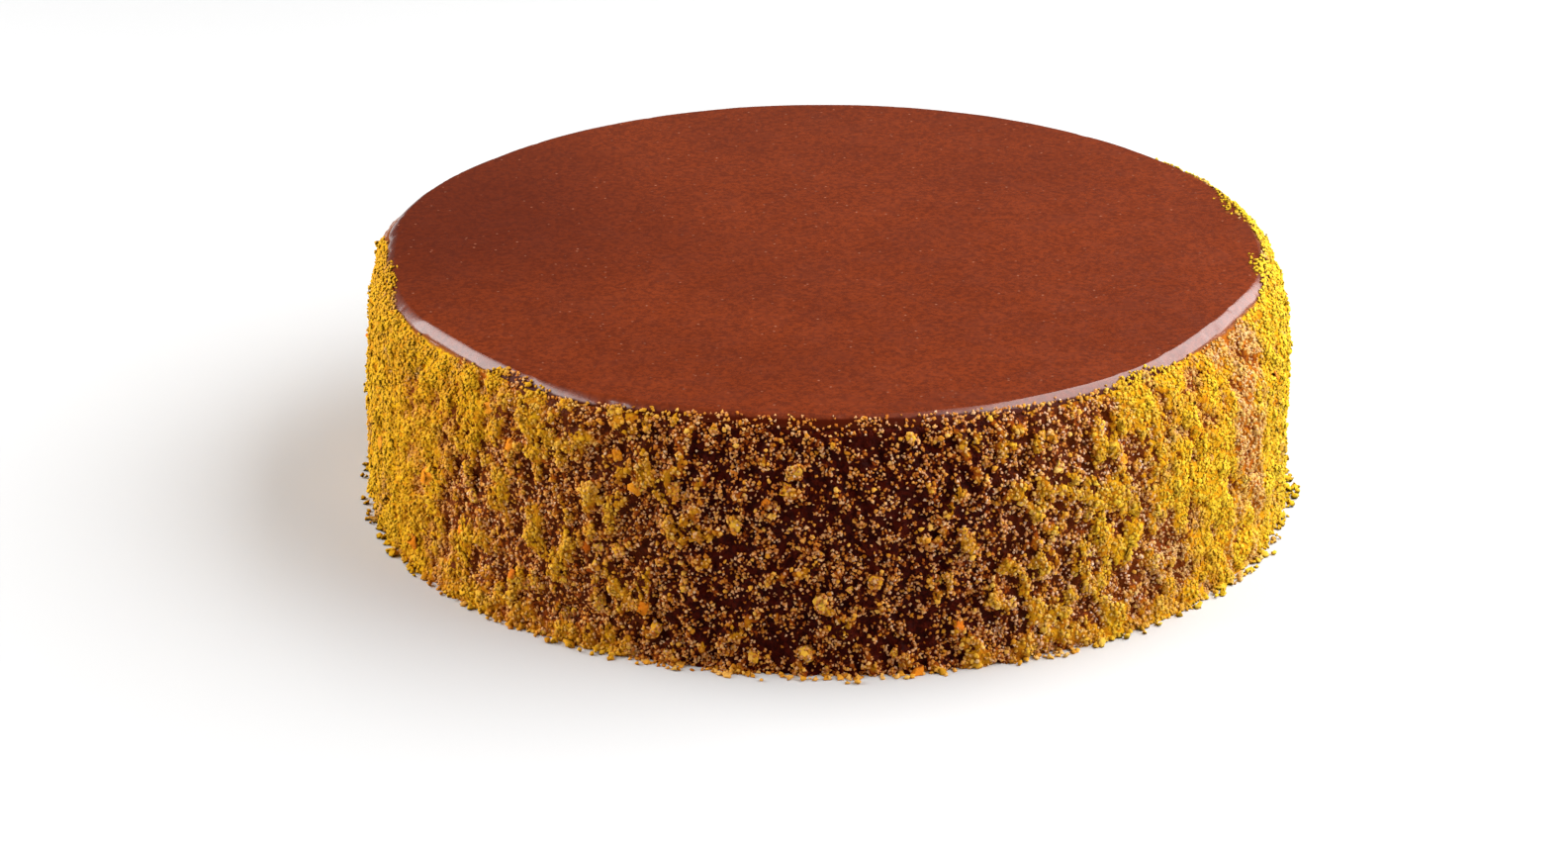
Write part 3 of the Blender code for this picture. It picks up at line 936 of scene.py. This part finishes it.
def crumb_material(name, tones, packs=True):
    """Dry sponge: yellow where packed and darker between the heaps as painted shade, the kind's own tones
    where thin, and wet with glaze at its foot, which is partly painted shade.
    """
    material, tree, shader = new_material(name.replace("_", " "), roughness=CRUMB_ROUGHNESS)
    places = own_places(tree)
    tone = stored(tree, "tone")
    thinness = stored(tree, "thinness")
    thick = stretched(tree, thinness, *THICK_FROM_TO)
    thin = stretched(tree, stored(tree, "beige"), *THIN_FROM_TO)
    wet = thin
    colour = ramp(tree, tone, tones)
    if packs:
        # Between the heaps their tones are darker, as painted shade
        evened = blended(tree, blended(tree, thick, EVENNESS / 2, EVENNESS), tone, MEAN_TONE)
        crest = maths(tree, "MAXIMUM", stored(tree, "crest"), product(tree, thick, LEAST_CREST))
        packed = mixed(tree, crest, ramp(tree, evened, HOLLOW_SHADE_TONES), ramp(tree, evened, PACKED_TONES))
        colour = mixed(tree, thin, packed, colour)
        wet = product(tree, thin, stretched(tree, thinness, *WET_FROM_TO))
        sand = product(tree, thin, stretched(tree, thinness, *SAND_FROM_TO, 0.0, SAND_SHARE))
        colour = mixed(tree, sand, colour, SAND)

    # Mottled all over, with painted shade deep among the others, and stained at its foot by the glaze, which
    # is partly painted shade too
    specks = noise(tree, places, MOTTLE_SIZE, detail=1.0, seed=3.0)
    mottle = product(tree, stretched(tree, specks, *NOISE_MIDDLE), blended(tree, thick, *MOTTLE_SHARES))
    colour = mixed(tree, mottle, colour, mixed(tree, thin, (*HOLLOW_SHADE_TONES[0], 1), (*tones[0], 1)))
    proud = stored(tree, "proud")
    deep_share = blended(tree, thin, blended(tree, thick, *DEEP_SHARES[:2]), DEEP_SHARES[2])
    deep = product(tree, stretched(tree, proud, *DEEP_FROM_TO), deep_share)
    colour = mixed(tree, deep, colour, SHADED)
    # The darkening at each crumb's foot is partly glaze stain and partly painted shade
    stain_and_shade = product(tree, stretched(tree, proud, *STAIN_AND_SHADE_FROM_TO), blended(tree, wet, *STAIN_AND_SHADE_SHARES))
    colour = mixed(tree, stain_and_shade, colour, STAINED_AND_SHADED)
    rightwards = add_node(tree, "ShaderNodeSeparateXYZ", {0: places}).outputs[0]
    lemon = vector_maths(tree, "MULTIPLY", colour, LEMON_TINT)
    colour = mixed(tree, stretched(tree, rightwards, *LEMON_FROM_TO), colour, lemon)
    tree.links.new(colour, shader.inputs["Base Color"])
    shader.inputs["Specular IOR Level"].default_value = CRUMB_GLOSS

    # Each crumb's own shading is turned some of the way towards the ground's
    facing = tree.nodes.new("ShaderNodeTexCoord").outputs["Normal"]
    aim = add_node(tree, "ShaderNodeAttribute", attribute_name="aim").outputs["Vector"]
    softness = blended(tree, thick, blended(tree, thin, SOFTNESS, SOFTNESS / 2), SOFTNESS_THICK)
    apart = vector_maths(tree, "SCALE", vector_maths(tree, "SUBTRACT", aim, facing), scale=softness)
    soft = vector_maths(tree, "NORMALIZE", vector_maths(tree, "ADD", facing, apart))
    bumped(tree, shader, specks, CRUMB_RELIEF, facing=soft)
    return material


def laid_crumbs(name, tree, bed, clumps, kind):
    """One kind of crumb over the bed, as a piece of its own."""
    piece = bpy.data.objects.new(name, bed.data.copy())
    bpy.context.scene.collection.objects.link(piece)
    values = {key.replace("_", " ").title(): value for key, value in kind.items()}
    values["Clumps"] = clumps
    values["Per Square Metre"] = kind["per_cm2"] * CM2_IN_M2
    values["Floor"] = cad_box[0].z + FLOOR_CLEARANCE
    values["Material"] = crumb_material(name, kind["tones"], packs=name != "crumbs_orange")
    run_tree(piece, tree, values)
    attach(piece, "root")
    return piece


bed = crumb_bed()
floor_ring = fallen_bed()
laying = laying_tree()
clumps = None
for name, kind in CRUMB_KINDS.items():
    if name == "crumb_clumps":
        clumps = laid_crumbs(name, laying, bed, None, kind)
    elif name == "crumbs_fallen":
        laid_crumbs(name, laying, floor_ring, None, kind)
    else:
        laid_crumbs(name, laying, bed, clumps, kind)
bpy.data.objects.remove(bed)
bpy.data.objects.remove(floor_ring)


# ---- The floor, the lights and the camera ----
# A pale floor, a large soft light on each side of the cake and a faint one behind it, and the camera looking
# down on it from in front.
FLOOR_SIZE = 6.0
FLOOR_COLOUR = (0.62, 0.62, 0.62, 1)
FLOOR_ROUGHNESS = 0.9
ROOM_LIGHT = 0.015
LENS = 100  # millimetres, as is the width of the sensor
SENSOR_WIDTH = 36
CAMERA_AIM = Vector((-0.0120, 0, 0.0127))
CAMERA_DISTANCE = 1.199
CAMERA_ELEVATION = math.radians(23.49)
middle = (cad_box[0] + cad_box[1]) / 2


def floor():
    """A wide pale floor in the plane that the cake stands on."""
    bpy.ops.mesh.primitive_plane_add(size=FLOOR_SIZE, location=(0, 0, cad_box[0].z))
    piece = bpy.context.object
    piece.name = "floor"
    material, _, _ = new_material("pale floor", FLOOR_COLOUR, FLOOR_ROUGHNESS)
    piece.data.materials.append(material)


def soft_light(name, bearing, elevation, distance, width, height, power):
    """A softbox at a bearing round the cake, aimed at its middle."""
    light = bpy.data.lights.new(name, "AREA")
    light.shape = "RECTANGLE"
    light.size = width
    light.size_y = height
    light.energy = power
    lamp = bpy.data.objects.new(name, light)
    turn = math.radians(bearing)
    rise = math.radians(elevation)
    level = Vector((math.sin(turn), -math.cos(turn), 0)) * math.cos(rise)
    lamp.location = middle + distance * (level + Vector((0, 0, math.sin(rise))))
    lamp.rotation_euler = (middle - lamp.location).to_track_quat("-Z", "Y").to_euler()
    bpy.context.scene.collection.objects.link(lamp)


def camera():
    """A long lens, aimed at the lower front of the cake."""
    lens = bpy.data.cameras.new("camera")
    lens.lens = LENS
    lens.sensor_width = SENSOR_WIDTH
    piece = bpy.data.objects.new("camera", lens)
    bpy.context.scene.collection.objects.link(piece)
    back = Vector((0, -math.cos(CAMERA_ELEVATION), math.sin(CAMERA_ELEVATION)))
    piece.location = CAMERA_AIM + CAMERA_DISTANCE * back
    piece.rotation_euler = (CAMERA_AIM - piece.location).to_track_quat("-Z", "Y").to_euler()
    bpy.context.scene.camera = piece


floor()
soft_light("left softbox", bearing=-92, elevation=28, distance=1.15, width=1.36, height=0.86, power=21.3)
soft_light("right softbox", bearing=94, elevation=40, distance=0.76, width=1.34, height=0.95, power=20.4)
soft_light("back panel", bearing=180, elevation=12, distance=1.3, width=2.2, height=0.38, power=0.20)
camera()

world = bpy.data.worlds.new("studio")
world.use_nodes = True
world.node_tree.nodes["Background"].inputs["Color"].default_value = (1, 1, 1, 1)
world.node_tree.nodes["Background"].inputs["Strength"].default_value = ROOM_LIGHT
bpy.context.scene.world = world
bpy.context.scene.view_settings.view_transform = "Standard"
